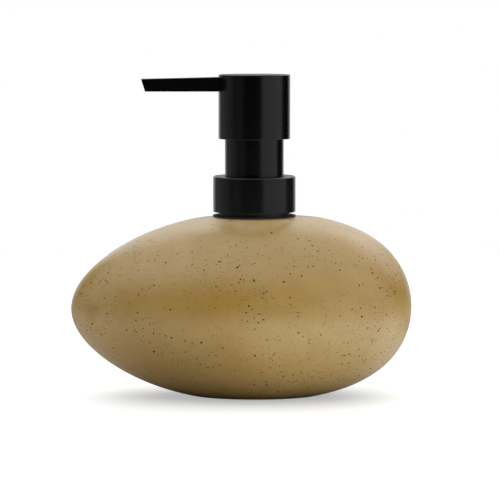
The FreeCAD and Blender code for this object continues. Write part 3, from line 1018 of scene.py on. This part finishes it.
@dataclass
class Head(SubAssembly):
    """Turned metal cap of the head and the bar spout; lengths in millimetres."""

    body: ClassVar[Body] = Body.HEAD
    wall: float = 1.0
    chamfer: float = 0.35
    edge: float = 0.10
    window_gap: float = 0.05
    window_reach: float = 2.0
    window_crease: float = math.radians(25.0)
    undercut: float = 1.6
    undercut_power: int = 12
    root_height: float = 5.85
    tip_height: float = 5.1
    bore_radius: float = 1.9
    corner: float = 0.12
    corner_share: float = 0.6
    side_spread: float = 6.0
    section_points: int = 96
    skin_shares: tuple[float, ...] = (0.004, 0.02, 0.19, 0.20, 0.4, 0.6, 0.8, 0.93)
    bore_shares: tuple[float, ...] = (0.0, 0.5, 0.98, 1.0)
    tip_support: float = 0.01
    face_trim: float = 0.5
    edge_trim: float = 0.18

    def turn(self) -> np.ndarray:
        """Angles round a section, from half a step past the side."""
        steps = np.linspace(0.0, 2 * math.pi, self.section_points, endpoint=False)
        return steps + math.pi / self.section_points

    def section(self, width: float, height: float) -> np.ndarray:
        """Rounded rectangle: each point of a circle of the corner's radius is moved out to its own corner.

        The points are spread by a hyperbolic tangent within each quarter, so that most lie at its ends.

        Args:
            width: full width.
            height: full height.

        Returns:
            (across, up) points about the middle, shaped (section_points, 2).
        """
        turn, eighth = self.turn(), math.pi / 4
        quarter = np.floor(turn / (2 * eighth)) * 2 * eighth
        spread = np.tanh(self.side_spread * (turn - quarter - eighth)) / math.tanh(self.side_spread * eighth)
        bent = quarter + eighth * (1 + spread)
        across = (width / 2 - self.corner) * np.sign(np.cos(turn)) + self.corner * np.cos(bent)
        rise = (height / 2 - self.corner) * np.sign(np.sin(turn)) + self.corner * np.sin(bent)
        return np.stack([across, rise], axis=-1)

    def build_spout(self) -> bpy.types.Object:
        """Makes the bar: bore, slanted mouth, outer skin and root as one closed run of rings.

        Outer rings are rounded rectangles whose top edge falls evenly from root to tip, and the bore's
        rings are circles. Towards the tip the lower side of every ring slides back by the undercut times
        a high power of its share of the way.

        Returns:
            The piece.
        """
        low, high = millimetres("spout")
        width, length = high.y - low.y, high.x - low.x
        head_side = -millimetres("head_shell")[1].x
        turn = self.turn()
        circle = np.stack([np.cos(turn), np.sin(turn)], axis=-1)
        bore = self.bore_radius * circle + [0.0, low.z + self.tip_height / 2]

        def placed(share: float, outline: np.ndarray) -> np.ndarray:
            """Puts an outline in its place along the bar, slid back by the undercut.

            Args:
                share: share of the way from root to tip.
                outline: (across, height) points.

            Returns:
                The points of the ring.
            """
            slant = self.undercut * (1 - (outline[:, 1] - low.z) / self.tip_height)
            station = high.x - length * share + slant * share ** self.undercut_power
            return np.stack([station, outline[:, 0], outline[:, 1]], axis=-1)

        def skin(share: float, trim: float) -> np.ndarray:
            """Makes an outer ring.

            Args:
                share: share of the way from root to tip.
                trim: how far it is drawn in, for the rounding of the bar's ends.

            Returns:
                The points of the ring.
            """
            station = high.x - length * share
            slope = np.clip((head_side - station) / (head_side - low.x), 0.0, 1.0)
            height = self.root_height + (self.tip_height - self.root_height) * slope
            ring = self.section(width - 2 * trim, height - 2 * trim)
            return placed(share, ring + [0.0, low.z + height / 2])

        tip = 1.0 - self.corner * self.corner_share / length
        shares = (*self.skin_shares, tip - self.tip_support, tip)
        rows = np.array([*(placed(share, bore) for share in self.bore_shares), skin(1.0, self.face_trim),
                         skin(1.0, self.edge_trim), *(skin(share, 0.0) for share in shares[::-1]),
                         skin(0.0, self.edge_trim)])
        piece = grid_object("bar_spout", rows, loop=True)
        return self.hand_over(piece, Slot.COATED_METAL, "spout")

    def build_cap(self) -> bpy.types.Object:
        """Makes the head's cap and cuts the spout's window through its wall.

        Returns:
            The piece.
        """
        low, high = millimetres("head_shell")
        radius = high.x
        inner, ceiling = radius - self.wall, high.z - self.wall
        corners = [
            (0.0, ceiling, 0.0), (inner, ceiling, 0.2), (inner, low.z, 0.15), (radius, low.z, 0.25),
            (radius, high.z - self.chamfer, self.edge), (radius - self.chamfer, high.z, self.edge),
            (0.0, high.z, 0.0),
        ]
        piece = turned("head_cap", corners, closed=False)
        self.cut_window(piece, -radius - self.window_reach, -inner + self.window_reach)
        return self.hand_over(piece, Slot.COATED_METAL, "head_shell")

    def cut_window(self, piece: bpy.types.Object, near: float, far: float) -> None:
        """Cuts the bar's outline, a little wider than the bar, through a wall between two stations.

        Args:
            piece: the piece to cut, changed in place.
            near: station along X where the cut starts, in millimetres.
            far: station where it ends.
        """
        low, high = millimetres("spout")
        ring = self.section(high.y - low.y + 2 * self.window_gap, self.root_height + 2 * self.window_gap)
        ring += [0.0, low.z + self.root_height / 2]
        ends = [np.insert(ring, 0, station, axis=1) for station in (near, far)]
        poles = [np.broadcast_to(end.mean(axis=0), end.shape) for end in ends]
        cutter = grid_object("window_cutter", np.array([poles[0], *ends, poles[1]]))
        change = piece.modifiers.new("window", "BOOLEAN")
        change.operation, change.solver, change.object = "DIFFERENCE", "EXACT", cutter
        cut = bpy.data.meshes.new_from_object(piece.evaluated_get(bpy.context.evaluated_depsgraph_get()))
        piece.modifiers.clear()
        cut.shade_smooth()
        cut.set_sharp_from_angle(angle=self.window_crease)
        piece.data = cut
        bpy.data.objects.remove(cutter)


@dataclass
class Workings:
    """CAD nodes that are already the right shape and only need their finish."""

    finishes: dict[Slot, bpy.types.Material]
    frame: dict

    def dress_all(self) -> None:
        """Dresses every node that is still shown in the finish of its record's slot."""
        slots = {part["node"]: part["material_slot"] for part in self.frame["record"]["subparts"]}
        for node, piece in sorted(self.frame["nodes"].items()):
            if piece.hide_render:
                continue
            dress(piece, self.finishes[Slot(slots[node])])
            log.info("%s: kept from the frame, dressed as %s", node, slots[node])


@dataclass(frozen=True)
class Lobe:
    """Soft round patch of studio light, seen only by the object.

    Azimuth is in degrees from the camera's side towards +X, elevation in degrees above the horizon. The
    light is full within the inner angle from that direction and fades to nothing at the outer one.
    """

    azimuth: float
    elevation: float
    inner: float
    outer: float
    light: Light

    @property
    def direction(self) -> Vector:
        """Unit vector towards the middle of the patch."""
        turn, rise = math.radians(self.azimuth), math.radians(self.elevation)
        return Vector((math.sin(turn) * math.cos(rise), -math.cos(turn) * math.cos(rise), math.sin(rise)))

    @property
    def edges(self) -> tuple[float, float]:
        """Cosines of the outer and the inner angle."""
        return math.cos(math.radians(self.outer)), math.cos(math.radians(self.inner))


@dataclass(frozen=True)
class Pool:
    """Round patch of light on the floor, seen only by the object; distances are in metres."""

    centre: Point
    inner: float
    outer: float
    light: Light


@dataclass
class Studio:
    """Pale floor, soft light from all round and the camera.

    Lengths are in millimetres, but those of the pools and the camera's clip are in metres.
    """

    floor_rings: tuple[float, float, float] = (0.0, 124.0, 620.0)
    floor_segments: int = 96
    floor_drop: float = 0.02
    floor_roughness: float = 0.8
    floor_seen: float = 0.66
    floor_bounce: float = 0.42
    floor_glow: Light = (0.44 * 0.97, 0.44 * 0.985, 0.44)
    aim: Point = (-1.78, 0.0, 60.78)
    distance: float = 1013.0
    elevation: float = math.radians(5.4)
    lens: float = 176.4
    sensor: float = 36.0
    clip: tuple[float, float] = (0.05, 20.0)
    lobes: tuple[Lobe, ...] = (
        Lobe(0.0, 88.0, 35.0, 70.0, (1.37, 1.40, 1.36)),
        Lobe(180.0, 50.0, 20.0, 45.0, (0.17, 0.15, 0.13)),
        Lobe(62.0, 0.0, 33.0, 42.0, (1.03, 1.03, 1.04)),
        Lobe(-101.0, 0.0, 21.0, 37.0, (0.36, 0.37, 0.39)),
        Lobe(-50.0, 5.0, 6.0, 20.0, (0.27, 0.25, 0.25)),
        Lobe(180.0, 36.0, 22.0, 33.0, (1.12, 1.15, 1.16)),
        Lobe(130.0, 32.0, 12.0, 26.0, (1.25, 1.30, 1.32)),
        Lobe(-157.0, 3.0, 8.0, 21.0, (0.90, 0.94, 0.97)),
        Lobe(159.0, 3.0, 8.0, 19.0, (0.90, 0.94, 0.97)),
        Lobe(-75.0, 42.0, 20.0, 40.0, (0.39, 0.38, 0.38)),
    )
    pools: tuple[Pool, ...] = (
        Pool((0.02, -0.062, 0.0), 0.0, 0.052, (0.62, 0.58, 0.48)),
        Pool((0.16, -0.06, 0.0), 0.05, 0.15, (1.32, 1.39, 1.44)),
        Pool((0.02, -0.18, 0.0), 0.05, 0.15, (1.38, 1.25, 0.97)),
        Pool((-0.17, -0.05, 0.0), 0.05, 0.15, (0.49, 0.46, 0.42)),
    )

    def build_floor(self) -> None:
        """Makes the floor: a disc of rings about the origin, pale and matt, with the pools of light."""
        radius = np.array(self.floor_rings)[:, None]
        turn = np.linspace(0, 2 * math.pi, self.floor_segments, endpoint=False)[None, :]
        rows = np.stack([radius * np.cos(turn), radius * np.sin(turn), 0 * radius * turn - self.floor_drop],
                        axis=-1)
        floor = grid_object("floor", rows)
        material, nodes, shader = new_material("pale_floor")
        seen = nodes.node("ShaderNodeLightPath").outputs["Is Camera Ray"]
        unseen = nodes.math("SUBTRACT", 1.0, seen)
        place = nodes.place()
        total = nodes.vector("SCALE", self.floor_glow, seen)
        for pool in self.pools:
            apart = nodes.vector("DISTANCE", place, pool.centre)
            near = nodes.ramp(apart, pool.inner, pool.outer, 1.0, 0.0)
            total = nodes.add_light(total, nodes.math("MULTIPLY", unseen, near), pool.light)
        pale = nodes.blend(seen, grey(self.floor_bounce), grey(self.floor_seen))
        nodes.feed_all(shader, Base_Color=pale, Roughness=self.floor_roughness, Specular_IOR_Level=0.0,
                       Emission_Color=total, Emission_Strength=1.0)
        dress(floor, material)

    def build_light(self) -> None:
        """Makes the studio: a white background for the camera, and soft lobes of light for the object."""
        world = bpy.data.worlds.new("studio")
        bpy.context.scene.world = world
        world.use_nodes = True
        world.node_tree.nodes.clear()
        nodes = Shading(world.node_tree)
        direction = nodes.node("ShaderNodeTexCoord").outputs["Generated"]
        total: object = (0.0, 0.0, 0.0)
        for lobe in self.lobes:
            towards = nodes.vector("DOT_PRODUCT", direction, lobe.direction)
            total = nodes.add_light(total, nodes.ramp(towards, *lobe.edges), lobe.light)
        lit = nodes.feed_all(nodes.node("ShaderNodeBackground"), Color=total)
        white = nodes.feed_all(nodes.node("ShaderNodeBackground"), Color=grey(1.0))
        either = nodes.node("ShaderNodeMixShader")
        seen = nodes.node("ShaderNodeLightPath").outputs["Is Camera Ray"]
        for socket, value in zip(either.inputs, (seen, lit.outputs[0], white.outputs[0])):
            nodes.feed(socket, value)
        nodes.feed_all(nodes.node("ShaderNodeOutputWorld"), Surface=either.outputs[0])

    def build_camera(self) -> None:
        """Makes the camera, level left to right, looking along +Y and slightly down."""
        data = bpy.data.cameras.new("camera")
        data.lens, data.sensor_width = self.lens, self.sensor
        data.clip_start, data.clip_end = self.clip
        camera = bpy.data.objects.new("camera", data)
        back = Vector((0.0, -math.cos(self.elevation), math.sin(self.elevation)))
        camera.location = (Vector(self.aim) + back * self.distance) * MM
        camera.rotation_euler = (math.pi / 2 - self.elevation, 0.0, 0.0)
        bpy.context.scene.collection.objects.link(camera)
        bpy.context.scene.camera = camera

    def build(self) -> None:
        """Makes the whole setting."""
        self.build_camera()
        self.build_floor()
        self.build_light()
        settings = bpy.context.scene.view_settings
        settings.view_transform = "Standard"
        settings.look = "None"


def main() -> None:
    """Builds the setting and the sub-assemblies in order."""
    logging.basicConfig(level=logging.INFO, format="%(name)s: %(message)s")
    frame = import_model()
    Studio().build()
    finishes = make_finishes()
    Bottle(finishes).build()
    Collar(finishes).build()
    barrel = Barrel(finishes)
    barrel.build_sleeve()
    barrel.build_spring()
    head = Head(finishes)
    head.build_spout()
    head.build_cap()
    Workings(finishes, frame).dress_all()


if __name__ == "__main__":
    main()
